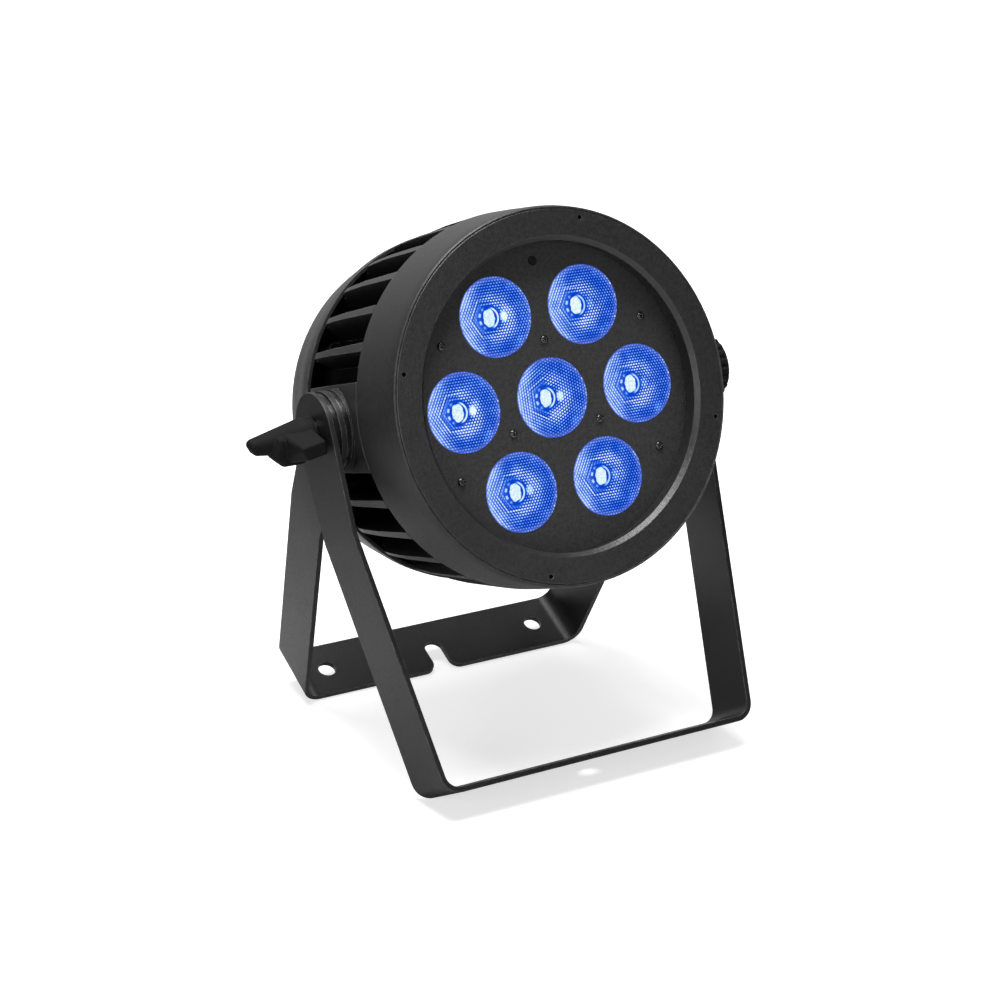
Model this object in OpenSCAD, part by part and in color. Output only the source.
// Seven-lens stage par light with a double tilting yoke.
// Z is up, X is the tilt axis and the lamp faces -Y. The origin is on the floor,
// midway between the yoke legs and straight below the tilt axis. Millimetres.

/* [Pose] */

// how far the head points above the horizontal, degrees
head_tilt = 17.25; // [-80:0.25:80]
// forward swing of the outer (front) yoke from vertical, degrees
front_swing = 28.2; // [15:0.1:40]
// backward swing of the inner (rear) yoke from vertical, degrees
rear_swing = 25.4; // [15:0.1:40]

/* [Head] */

// radius of the front bezel
bezel_r = 100; // [99:0.5:101]
// radius of the visible lens discs
lens_r = 21.3; // [20:0.1:21.3]
// radius of the circle that carries the six outer lenses
lens_ring_r = 53.65; // [53:0.05:53.8]
// angular width of one cooling window, degrees
window_deg = 9; // [7:0.5:9.5]

/* [Yokes] */

// thickness of the yoke strip
strip_t = 3; // [2.5:0.1:3]
// width of the front yoke strip
front_w = 37; // [34:0.5:38]
// width of the rear yoke strip
rear_w = 37.6; // [34:0.2:38]
// tilt axis to the outer face of the front crossbar
front_len = 201.1; // [201:0.1:206]
// tilt axis to the outer face of the rear crossbar
rear_len = 197; // [192:0.5:197]
// radius of the round ears at the tilt axis
ear_r = 22; // [20:0.5:22]
// radius of the clamp bolt holes
clamp_hole_r = 5.25; // [4.25:0.25:6.25]
// distance of the two outer crossbar holes from the middle
side_hole_x = 70.5; // [60:0.5:74]

/* [Knobs] */

// radius of the round fluted knob
knob_r = 18; // [16:0.5:19]
// number of flutes on the round knob
flutes = 22; // [16:1:26]

/* [Hidden] */
$fn = 64;

// height of the tilt axis that sets the lower of the two crossbars on the floor
pivot_h = max(rear_len * cos(rear_swing) + rear_w / 2 * sin(rear_swing),
              front_len * cos(front_swing) + front_w / 2 * sin(front_swing));

// stations along the head, measured forwards from the tilt axis
z_face = 70;               // front of the bezel
z_rim = z_face - 3;        // back of the bezel flange
z_seat = 66.2;             // front of the housing rim, under the bezel gasket
z_plate = 56.4;            // front of the recessed plate
z_plate_back = z_plate - 2;
z_step = 50.4;             // back of the stepped housing front
z_board = 30.1;            // front of the LED board
z_pad = 28.5;              // front of the thermal pad
z_floor = 28;              // front of the LED mounting floor
z_gasket = -69;            // back of the rear gasket
z_panel = -78;             // inner face of the control panel
z_back = -80;              // back of the control panel
z_flange = z_back - 2;     // back of the flanges on the panel

// stack along the tilt axis, from the head outwards: outer face of each part
x_boss = 103;
x_disc = 106;
x_rear = 109;
x_wash = 112;
x_front = 115;
x_knob = 116.5;
x_stud = 128;
stud_r = 4;
stud_hole_r = stud_r + 0.08;

black = [0.06, 0.06, 0.065];
dark = [0.03, 0.03, 0.03];
steel = [0.6, 0.6, 0.62];
lens_blue = [0.05, 0.15, 0.95, 0.6];
sensor_red = [0.1, 0.02, 0.05];
emitter_ivory = [0.9, 0.9, 0.8];
board_white = [0.85, 0.86, 0.85];
pad_grey = [0.55, 0.6, 0.7];
glass = [0.02, 0.03, 0.05];
display_grey = [0.15, 0.15, 0.15];
board_green = [0.03, 0.25, 0.1];
inlet_blue = [0.1, 0.2, 0.5];
case_grey = [0.7, 0.7, 0.72];
wire_black = [0.08, 0.08, 0.08];

// ---------------------------------------------------------------- frames and shapes
// head frame: x right seen from the front, y up the face, z out of the lamp's front
module head() axle() rotate([-head_tilt, 0, 0]) rotate([90, 0, 0]) children();
module axle() translate([0, 0, pivot_h]) children();
module polar(radius, angle) rotate([0, 0, angle]) translate([radius, 0, 0]) children();
module triple(start, radius) for (a = [0:120:240]) polar(radius, start + a) children();
module pair(x, y) for (s = [-1, 1]) translate([x * s, y, 0]) children();
module both_sides() for (a = [0, 180]) rotate([0, 0, a]) children();
module at(place) translate([place[0], place[1], 0]) children();

module cyl(radius, z0, z1) translate([0, 0, z0]) cylinder(r = radius, h = z1 - z0);
module ring(outer_r, inner_r, z0, z1) difference() {
  cyl(outer_r, z0, z1);
  cyl(inner_r, z0 - 1, z1 + 1);
}
module box(x0, x1, y0, y1, z0, z1) translate([x0, y0, z0]) cube([x1 - x0, y1 - y0, z1 - z0]);
// a box centred on the z axis
module slab(half_x, half_y, z0, z1) box(-half_x, half_x, -half_y, half_y, z0, z1);
module cross_slot(half_len, half_w, z0, z1) {
  slab(half_len, half_w, z0, z1);
  slab(half_w, half_len, z0, z1);
}
// a cylinder along the tilt axis, in the frame of the part it is called in
module xcyl(radius, x0, x1) translate([x0, 0, 0]) rotate([0, 90, 0])
  cylinder(r = radius, h = x1 - x0);

// socket-head screw; each argument is [radius, z0, z1], children join the metal
module hex_screw(shank, cap, socket) difference() {
  union() {
    cyl(shank[0], shank[1], shank[2]);
    cyl(cap[0], cap[1], cap[2]);
    children();
  }
  translate([0, 0, socket[1]]) cylinder(r = socket[0], h = socket[2] - socket[1], $fn = 6);
}

// Every outline turned by rotate_extrude lists [radius, z station].

// ---------------------------------------------------------------- hole patterns
bezel_screw_a = [42, 138, 222, 318];
outer_post_a = [30, 150, 210, 330];
board_screws = [[38, 30], [38, 150], [38, 270], [66, 90], [66, 262]]; // [radius, angle]
cable_y = -62; // cable passage through the LED floor
sensor_y = 73;

module bezel_screw_spots() for (a = bezel_screw_a) polar(92.3, a) children();
module cover_screw_spots() for (a = [30:60:330]) polar(84.6, a) children();
module panel_screw_spots() for (a = [15:60:315]) polar(77, a) children();
module plate_screw_spots() {
  triple(90, 31) children();
  for (a = outer_post_a) polar(71, a) children();
}
module board_screw_spots() for (p = board_screws) polar(p[0], p[1]) children();
module lens_spots() {
  children();
  for (k = [0:5]) polar(lens_ring_r, 60 * k) children();
}
module supply_screw_spots() for (y = [-24, 24]) pair(48, y) children();

// ---------------------------------------------------------------- front end
plate_r = 85.6;

module front_bezel() head() color(black) difference() {
  rotate_extrude($fn = 128) polygon([
    [84.6, z_face], [bezel_r - 1.6, z_face], [bezel_r - 1.25, z_face - 0.35],
    [bezel_r - 1.25, z_rim], [86, z_rim], [86, z_plate + 1], [83.9, z_plate + 1],
    [83.9, 65.2], [82.3, 66.6], [82.3, z_face - 2.5]]);
  // accessory holes
  for (a = [75:90:345]) polar(95, a) cyl(1.25, 60, 80);
  bezel_screw_spots() cyl(1.55, 60, z_face - 0.6);
}

module bezel_gasket() head() color(dark) difference() {
  ring(98.5, 87, z_seat, z_rim);
  bezel_screw_spots() cyl(1.8, 60, 80);
}

// driven from behind
module bezel_screws() head() color(steel) bezel_screw_spots() hex_screw(
  shank = [1.5, z_step - 0.1, z_face - 0.8], cap = [2.75, z_step - 3, z_step],
  socket = [1.4, 46, 48.9]);

module plate_hole(radius) cyl(radius, 50, 60);
module face_plate() head() color(black) difference() {
  cyl(plate_r, z_plate_back, z_plate);
  lens_spots() plate_hole(lens_r + 0.2);
  plate_screw_spots() plate_hole(1.65);
  translate([0, sensor_y, 0]) plate_hole(2.55);
}

module face_gasket() head() color(dark) ring(plate_r, 84.2, z_plate, z_plate + 1);

module face_plate_screws() head() color(dark) plate_screw_spots() rotate([0, 0, 20])
  difference() {
    rotate_extrude() polygon([
      [0, 45], [1.5, 45], [1.5, z_plate], [2.2, z_plate], [2.2, z_plate + 0.5],
      [1.9, z_plate + 0.95], [1.3, z_plate + 1.25], [0, z_plate + 1.35]]);
    cross_slot(1.3, 0.32, z_plate + 0.55, 60);
  }

module sensor_window() head() color(sensor_red) translate([0, sensor_y, 0]) {
  cyl(2.5, z_plate_back, z_plate + 0.2);
  cyl(3.1, z_plate - 4, z_plate_back);
}

// one collimating lens, front disc forwards
module lens() color(lens_blue) rotate_extrude($fn = 96) polygon([
  [0, 39.5], [4.6, 37], [5.3, 31.5], [7, 31.5], [8.2, 33], [10.6, 36], [13.6, 40],
  [16.8, 45], [19.2, 50], [20.5, 54], [lens_r, 54], [lens_r, z_plate + 0.1],
  [lens_r - 0.3, z_plate + 0.4], [0, z_plate + 0.4]]);
module ring_lens(index) head() polar(lens_ring_r, 60 * index) lens();
module lens_1() head() lens();
module lens_2() ring_lens(0);
module lens_3() ring_lens(1);
module lens_4() ring_lens(2);
module lens_5() ring_lens(3);
module lens_6() ring_lens(4);
module lens_7() ring_lens(5);

module lens_holders() head() color(dark) lens_spots() rotate_extrude() polygon([
  [8, z_board], [10.5, z_board], [12.5, 33], [15.5, 38], [18.5, 43], [21, 48], [22.5, 51],
  [22.5, 54], [20.7, 54], [19.5, 50], [17.1, 45], [13.9, 40], [10.9, 36], [8.5, 33],
  [8, 32.2]]);

// square base under a dome
module led_emitters() head() color(emitter_ivory) lens_spots() {
  slab(3.5, 3.5, z_board, 31.3);
  intersection() {
    translate([0, 0, 31.3]) sphere(r = 3, $fn = 48);
    cyl(4, 31.2, 40);
  }
}

module floor_hole(radius) cyl(radius, 20, 40);
module cable_hole() translate([0, cable_y, 0]) floor_hole(5);
// disc on the LED floor, cleared for the plate posts, board screws and cable
module floor_disc(radius, z0, z1, screw_hole_r) difference() {
  cyl(radius, z0, z1);
  plate_screw_spots() floor_hole(4.4);
  board_screw_spots() floor_hole(screw_hole_r);
  cable_hole();
}
module led_board() head() color(board_white) floor_disc(73, z_pad, z_board, 1.7);
module thermal_pad() head() color(pad_grey) floor_disc(72.5, z_floor, z_pad, 1.9);

module led_board_screws() head() color(steel) board_screw_spots() hex_screw(
  shank = [1.5, 23.5, z_board + 0.1], cap = [2.6, z_board, 32], socket = [1.2, 31, 33]);

// ---------------------------------------------------------------- housing
rib_pitch = 12; // degrees
// outer edge shared by the ribs and the side walls, front to rear: [radius, z]
rib_edge = [[99.4, 40], [101.6, 30], [102.35, 29], [101.7, 10], [100.9, -10],
  [99.5, -28], [98.5, -37], [97.2, -39.6], [94.4, -41.4]];

module rib() intersection() {
  rotate([90, 0, 0]) translate([0, 0, -4]) linear_extrude(height = 8)
    polygon(concat([[79, 40]], rib_edge, [[94.2, -50], [79, -50]]));
  // [y, z] cross-section, slimmer towards the rear
  translate([70, 0, 0]) rotate([90, 0, 90]) linear_extrude(height = 40) polygon([
    [-2.6, 41], [2.6, 41], [1.6, -36], [1.45, -51], [-1.45, -51], [-1.6, -36]]);
}

// closed wall around a tilt boss
module side_wall() {
  half_deg = 1.5 * rib_pitch - window_deg / 2;
  rotate([0, 0, -half_deg]) rotate_extrude(angle = 2 * half_deg, $fn = 128)
    polygon(concat([[97, 40]], rib_edge, [[94.2, -46], [92, -46], [94, -38], [96, 0]]));
}

// inner tube, stepped front and outer rim in one profile
module housing_shell() rotate_extrude($fn = 128) polygon([
  [87, z_seat], [bezel_r - 1.1, z_seat], [bezel_r - 1.1, z_face - 0.35],
  [bezel_r - 0.8, z_face - 0.05], [bezel_r - 0.3, z_face - 0.05],
  [bezel_r + 0.25, z_face - 0.6], [bezel_r + 0.9, 65.6], [101.4, 55], [102.1, 40],
  [102.4, 30.2], [101.6, 29], [99, 29], [98.8, z_step], [80.2, z_step], [80.2, -68],
  [76.2, -68], [76.2, z_plate_back], [97.6, z_plate_back], [97.6, 61.7], [87, 61.7]]);

module housing() head() color(black) difference() {
  union() {
    housing_shell();
    cyl(77, 22, z_floor);
    both_sides() {
      for (k = [2:13]) rotate([0, 0, rib_pitch * k]) rib();
      side_wall();
      xcyl(ear_r, 76.3, x_boss);
    }
    plate_screw_spots() cyl(4, z_floor - 1, z_plate_back);
    bezel_screw_spots() cyl(4.2, z_step, z_seat);
    cover_screw_spots() {
      cyl(3.7, -76.6, -45);
      // web to the inner tube
      box(-6, 0, -1.5, 1.5, -66, -45);
    }
  }
  bezel_screw_spots() cyl(1.6, 40, 70);
  cover_screw_spots() cyl(1.55, -80, -62);
  plate_screw_spots() cyl(1.55, 44.8, 60);
  board_screw_spots() cyl(1.55, 23, 40);
  supply_screw_spots() cyl(1.55, 20, 26);
  cable_hole();
  both_sides() xcyl(stud_r + 0.05, 82, 120);
}

module rear_gasket() head() color(dark) ring(79.6, 76.6, z_gasket, -68);

module rear_cover() head() color(black) difference() {
  rotate_extrude($fn = 128) polygon([
    [96.4, -42], [98.2, -42], [98.5, -42.4], [97.7, -50], [95.5, -60], [93.5, -70],
    [92.4, -75], [91.2, -78.2], [89.3, -79.6], [87, z_back], [81, z_back], [81, z_panel],
    [73.6, z_panel], [73.6, z_gasket], [79.8, z_gasket], [79.8, -76.8], [88.4, -76.8],
    [89.6, -74], [90.6, -69], [92.6, -59], [94.9, -50], [95.6, -43]]);
  cover_screw_spots() {
    cyl(1.65, -90, -60);
    cyl(3.4, -90, -78.4);
  }
  panel_screw_spots() cyl(1.3, -80, -71);
}

module rear_cover_screws() head() color(steel) cover_screw_spots() hex_screw(
  shank = [1.5, -78.5, -63], cap = [3.2, -80.6, -78.4], socket = [1.5, -81, -79.3]);

// ---------------------------------------------------------------- control panel
// [x, y] places; seen from behind, the head's x points to the viewer's left
inlet_at = [34, -14];
outlet_at = [-34, -14];
dmx_in_at = [22, -50];
dmx_out_at = [-22, -50];
fuse_at = [0, -12];
display_at = [0, 40];
button_x = [30, 10, -10, -30];
button_y = 20;
eye_y = 62;
eye_screw_x = 10.6;
eye_z = -89.5;     // centre of the safety eye
tab_ring_r = 5.5;  // rear tabs of the power sockets
pin_ring_r = 4.6;  // contacts of the DMX sockets
small_r = 1.25;    // shank of the small panel screws
small_cap_r = 2.4; // and their heads

module panel_hole(radius) cyl(radius, -90, -70);
module spacer_spots() for (y = [12, 54]) pair(38, y) children();
module socket_screw_spots() for (s = [-1, 1]) translate([9.5 * s, 12 * s, 0]) children();

module control_panel() head() color(black) difference() {
  cyl(80.7, z_back, z_panel);
  for (place = [inlet_at, outlet_at]) at(place) panel_hole(12.1);
  for (place = [dmx_in_at, dmx_out_at]) at(place) panel_hole(11.8);
  at(fuse_at) panel_hole(6.1);
  for (place = [inlet_at, outlet_at, dmx_in_at, dmx_out_at])
    at(place) socket_screw_spots() panel_hole(1.3);
  for (x = button_x) translate([x, button_y, 0]) panel_hole(4.1);
  at(display_at) slab(23.1, 8.1, -90, -70);
  panel_screw_spots() panel_hole(1.6);
  pair(eye_screw_x, eye_y) panel_hole(2.1);
  spacer_spots() panel_hole(1.6);
}

// cross-slotted screw reaching in to tip_z
module cross_screw(tip_z) difference() {
  union() {
    cyl(small_r, z_back - 0.1, tip_z);
    cyl(small_cap_r, z_back - 1.5, z_back);
  }
  cross_slot(1.6, 0.3, z_back - 2, z_back - 0.8);
}
module control_panel_screws() head() color(steel) {
  panel_screw_spots() cross_screw(-73);
  spacer_spots() cross_screw(-74);
}

module display_window() head() color(glass) at(display_at) {
  slab(23, 8, -80.2, -77.9);
  slab(25, 10, -77.9, -76.9);
}
module display_module() head() color(display_grey) at(display_at) slab(22, 8, -76.8, -68.4);

z_control = -68.3; // back of the control board
module control_board() head() color(board_green) {
  difference() {
    box(-43, 43, 7, 58, z_control, -66.7);
    spacer_spots() cyl(1.6, -70, -60);
  }
  // push switches
  for (x = button_x) translate([x, button_y, 0]) {
    slab(3, 3, -72.3, -68.2);
    cyl(1.7, -73, -72.2);
  }
  // blocks on the inner side
  box(-20, 4, 28, 44, -66.8, -60);
  box(12, 30, 30, 36, -66.8, -57);
}
module control_board_spacers() head() color(steel)
  spacer_spots() ring(2.8, 1.35, z_panel, z_control);

module button(index) head() color(dark) translate([button_x[index], button_y, 0]) {
  cyl(4, -81.6, -76.9);
  cyl(5.2, -77.2, -75.6);
  cyl(2, -75.7, -73.8);
}
module button_menu() button(0);
module button_down() button(1);
module button_up() button(2);
module button_enter() button(3);

module socket_flange() difference() {
  slab(13, 15.5, z_flange, z_back);
  socket_screw_spots() panel_hole(1.3);
}
// shank, head and nut
module socket_screws() socket_screw_spots() {
  cyl(small_r, z_flange - 0.1, -76.5);
  cyl(small_cap_r, z_flange - 1.2, z_flange);
  cyl(small_cap_r, z_panel, -76.4);
}

module power_socket(key_angle) {
  difference() {
    union() {
      socket_flange();
      cyl(12, z_back - 4.5, -58);
    }
    // annular recess around the core
    difference() {
      cyl(9.6, -95, -64);
      cyl(5.2, -83.5, -60);
    }
    triple(key_angle, 0) box(8.5, 10.8, -1.8, 1.8, -95, -66);
    triple(0, 3) panel_hole(0.9);
  }
  triple(0, tab_ring_r) slab(1.5, 0.4, -58.1, -52);
  socket_screws();
}
module power_inlet() head() color(inlet_blue) at(inlet_at) power_socket(0);
module power_outlet() head() color(steel) at(outlet_at) power_socket(60);

// children are cut out of the flanged body
module dmx_socket() {
  difference() {
    union() {
      socket_flange();
      cyl(11.7, z_back - 3, -60);
    }
    children();
  }
  triple(90, pin_ring_r) cyl(1.15, -60.1, -54);
  socket_screws();
}
module dmx_input() head() color(dark) at(dmx_in_at) {
  dmx_socket() {
    cyl(9.4, -90, -66);
    box(-1.8, 1.8, -10.8, -8, -90, -66);
  }
  triple(90, pin_ring_r) cyl(1.15, -79.5, -65.9);
}
module dmx_output() head() color(dark) at(dmx_out_at) dmx_socket() {
  ring(9.9, 7.6, -90, -66);
  triple(90, pin_ring_r) cyl(1.25, -90, -66);
  // room for the latch
  box(-3.2, 3.2, 8.4, 13.2, -90, -81);
  box(-3.2, 3.2, 8.4, 10.3, -90, -70);
}
module dmx_output_latch() head() color(steel) at(dmx_out_at) {
  box(-3, 3, 10, 12.9, -84, -82.2);
  box(-1.5, 1.5, 8.7, 10.1, -84, -72);
}

module fuse_holder() head() color(dark) at(fuse_at) difference() {
  union() {
    cyl(8, z_flange, z_back);
    cyl(6.6, z_back - 8, z_back - 1.9);
    cyl(6, z_back - 0.1, -50);
    ring(8, 6, z_panel, -75);
  }
  slab(5, 0.8, -90, z_back - 6.5);
}

// upright disc centred on the eye
module eye_disc(radius, thickness) translate([0, 0, eye_z]) rotate([90, 0, 0])
  cylinder(r = radius, h = thickness, center = true);
module safety_eye() head() color(steel) translate([0, eye_y, 0]) difference() {
  union() {
    slab(14.5, 5, z_flange, z_back);
    eye_disc(6.5, 2.5);
    slab(6.5, 1.25, eye_z, z_flange + 0.1);
  }
  eye_disc(3.5, 10);
  pair(eye_screw_x, 0) panel_hole(2.1);
}
module safety_eye_screws() head() color(steel) pair(eye_screw_x, eye_y)
  hex_screw(shank = [2, z_flange - 0.1, -75.5], cap = [3.4, z_flange - 2.2, z_flange],
    socket = [1.5, -85, -82.8])
    // nut
    cyl(3.6, z_panel, -75.4);

// ---------------------------------------------------------------- power supply and wiring
module power_supply() head() color(case_grey) difference() {
  union() {
    slab(55, 34, -14, 19.9);
    slab(56, 30, 18.4, 22);
  }
  slab(53.5, 32.5, -12.5, 18.4);
  // vent slots
  for (k = [0:8]) box(-42 + 10 * k, -37 + 10 * k, 0, 27, -20, -10);
  supply_screw_spots() {
    cyl(1.7, 0, 30);
    cyl(3.2, -20, -5);
  }
}
module supply_screw() {
  cyl(1.5, 18.3, 25.8);
  cyl(2.7, 16.4, 18.4);
}
module power_supply_screws() head() color(steel) supply_screw_spots() supply_screw();

module z_wire(x, y, radius, z0, z1) translate([x, y, 0]) cyl(radius, z0, z1);
// runs down the face from y_top to y_low
module y_wire(x, y_top, y_low, z, radius) translate([x, y_top, z]) rotate([90, 0, 0])
  cylinder(r = radius, h = y_top - y_low);
module wire_joint(x, y, z, radius) translate([x, y, z]) sphere(r = radius);

module wiring_harness() head() color(wire_black) {
  for (place = [inlet_at, outlet_at])
    z_wire(place[0] + tab_ring_r, place[1], 1.6, -51.9, -14.1);
  // DMX sockets to the control board
  low_y = dmx_in_at[1] + pin_ring_r;
  for (x = [dmx_out_at[0], dmx_in_at[0]]) {
    z_wire(x, low_y, 1.2, -53.9, -50);
    wire_joint(x, low_y, -50, 1.2);
    y_wire(x, 20, low_y, -50, 1.2);
    wire_joint(x, 20, -50, 1.2);
    z_wire(x, 20, 1.2, -66.6, -50);
  }
  // control board and fuse to the power supply
  z_wire(21, 31.5, 1.8, -56.9, -14.1);
  z_wire(fuse_at[0], fuse_at[1], 1.8, -49.9, -14.1);
  // power supply to the front of the LED board
  z_wire(0, cable_y, 1.5, 12, 31.8);
  for (z = [12, 31.8]) wire_joint(0, cable_y, z, 1.5);
  y_wire(0, -34.1, cable_y, 12, 1.5);
  y_wire(0, -54, cable_y, 31.8, 1.5);
}

// ---------------------------------------------------------------- tilt axis hardware
// a ring on each side, filling the gap from x0 to x1 with 0.02 play at each face
module side_rings(outer_r, inner_r, x0, x1) axle() both_sides() difference() {
  xcyl(outer_r, x0 + 0.02, x1 - 0.02);
  xcyl(inner_r, x0 - 1, x1 + 1);
}
module friction_discs() color(dark) side_rings(ear_r - 0.1, stud_r + 0.2, x_boss, x_disc);
module yoke_washers() color(dark) side_rings(ear_r - 1, stud_hole_r, x_rear, x_wash);
module knob_washers() color(steel) side_rings(9, stud_hole_r, x_front, x_knob);

module stud() xcyl(stud_r, 85, x_stud);
module knob_stud_right() axle() color(steel) stud();
module knob_stud_left() axle() color(steel) rotate([0, 0, 180]) stud();

// round knob with axial flutes
module knob_right() axle() color(dark) difference() {
  union() {
    xcyl(11, x_knob, 120.1);
    xcyl(knob_r - 1.5, 119.4, 121);
    xcyl(knob_r, 120, 140.4);
    xcyl(knob_r - 1.4, 140.3, 141.4);
  }
  for (k = [0:flutes - 1])
    rotate([360 / flutes * k, 0, 0]) translate([0, knob_r + 0.6, 0]) xcyl(1.7, 118, 143);
  xcyl(stud_r, 110, x_stud);
  xcyl(10, 140.6, 150);
}

// lever knob, outlined by balls at [x, z] points in planes across y
lever_tip = [[-148, -2.2], [-146.6, -4.6]];
lever_body = [[-138.4, -7], [-134.4, -10.6], [-125, -10.6], [-121.6, -4], [-136, 0]];
pad_front = [[-130.4, -0.6], [-119.4, 1.6], [-118.6, -3.4], [-127.8, -5.2]];
pad_root = [[-132.4, 1], [-120.4, 3], [-120.4, -8.4], [-131.4, -9.4]];
module balls(points, y, radius) for (p = points)
  translate([p[0], y, p[1]]) sphere(r = radius, $fn = 20);

module knob_left() axle() color(dark) difference() {
  union() {
    xcyl(9.5, -122, -x_knob);
    // lever that sweeps outwards
    hull() {
      xcyl(9.4, -124, -119);
      for (y = [2, 6]) balls(lever_tip, y, 3);
    }
    hull() {
      for (y = [-5, 1]) balls(lever_body, y, 3);
    }
    // short pad at the front
    hull() {
      balls(pad_front, -20.4, 1.6);
      balls(pad_root, -4, 3);
    }
  }
  xcyl(stud_r, -x_stud, -110);
}

// ---------------------------------------------------------------- yokes
corner_steps = 12;
function mirrored(path) = [for (k = [len(path) - 1:-1:0]) [-path[k][0], path[k][1]]];

// bent strip seen along Y: outer faces at +-face_x by the ears, leaning in by lean
// degrees below bend_depth, with corners of outer radius corner_r
module strip(face_x, bend_depth, lean, length, corner_r) {
  centre_z = -length + corner_r;
  centre_x = face_x + (-corner_r + (centre_z + bend_depth) * sin(lean)) / cos(lean);
  function arc_point(radius, k) =
    let (angle = -lean - (90 - lean) * k / corner_steps)
    [centre_x + radius * cos(angle), centre_z + radius * sin(angle)];
  outer = concat([[face_x, ear_r + 1], [face_x, -bend_depth]],
    [for (k = [0:corner_steps]) arc_point(corner_r, k)]);
  inner = concat([for (k = [corner_steps:-1:0]) arc_point(corner_r - strip_t, k)],
    [[face_x - strip_t, -bend_depth + strip_t * tan(lean / 2)],
     [face_x - strip_t, ear_r + 1]]);
  depth = 2 * ear_r + 2;
  rotate([90, 0, 0]) translate([0, 0, -depth / 2]) linear_extrude(height = depth)
    polygon(concat(outer, mirrored(outer), mirrored(inner), inner));
}

// side view outline of a yoke: round ear, taper, then a parallel strip
module yoke_side(length, width)
  rotate([90, 0, 90]) translate([0, 0, -140]) linear_extrude(height = 280)
    polygon(concat([for (a = [-3:6:183]) [ear_r * cos(a), ear_r * sin(a)]],
      [[-width / 2, -60], [-width / 2, -length - 5], [width / 2, -length - 5],
       [width / 2, -60]]));

module stud_hole() xcyl(stud_hole_r, -130, 130);
// vertical hole through a crossbar
module bar_hole(length, x, y, radius)
  translate([x, y, -length - 5]) cylinder(r = radius, h = 12);

// open slot from the front edge of the rear crossbar, with a flared mouth
module rear_slot() {
  slot_r = 5.5;
  slot_y = -2.5;
  flare_r = 6.5;
  flare_x = slot_r + flare_r;
  edge_y = -rear_w / 2;
  bar_hole(rear_len, 0, slot_y, slot_r);
  box(-slot_r, slot_r, -rear_w, slot_y, -rear_len - 5, -rear_len + 7);
  difference() {
    box(-flare_x, flare_x, edge_y - 1, edge_y + flare_r, -rear_len - 4, -rear_len + 6);
    for (s = [-1, 1]) bar_hole(rear_len, flare_x * s, edge_y + flare_r, flare_r);
  }
}

module rear_yoke() axle() rotate([rear_swing, 0, 0]) color(black) difference() {
  intersection() {
    strip(x_rear, bend_depth = 60, lean = 6.41, length = rear_len, corner_r = 12);
    yoke_side(rear_len, rear_w);
  }
  stud_hole();
  for (s = [-1, 1]) bar_hole(rear_len, side_hole_x * s, 0, clamp_hole_r);
  rear_slot();
}

module front_yoke() axle() rotate([-front_swing, 0, 0]) color(black) difference() {
  intersection() {
    strip(x_front, bend_depth = 58, lean = 7.09, length = front_len, corner_r = 11);
    yoke_side(front_len, front_w);
  }
  stud_hole();
  bar_hole(front_len, 0, 0, clamp_hole_r);
}

front_bezel();
bezel_gasket();
bezel_screws();
face_plate();
face_gasket();
face_plate_screws();
sensor_window();
lens_1();
lens_2();
lens_3();
lens_4();
lens_5();
lens_6();
lens_7();
lens_holders();
led_emitters();
led_board();
led_board_screws();
thermal_pad();
housing();
rear_gasket();
rear_cover();
rear_cover_screws();
control_panel();
control_panel_screws();
display_window();
display_module();
control_board();
control_board_spacers();
button_menu();
button_down();
button_up();
button_enter();
power_inlet();
power_outlet();
dmx_input();
dmx_output();
dmx_output_latch();
fuse_holder();
safety_eye();
safety_eye_screws();
power_supply();
power_supply_screws();
wiring_harness();
friction_discs();
yoke_washers();
knob_washers();
knob_stud_left();
knob_stud_right();
knob_left();
knob_right();
rear_yoke();
front_yoke();
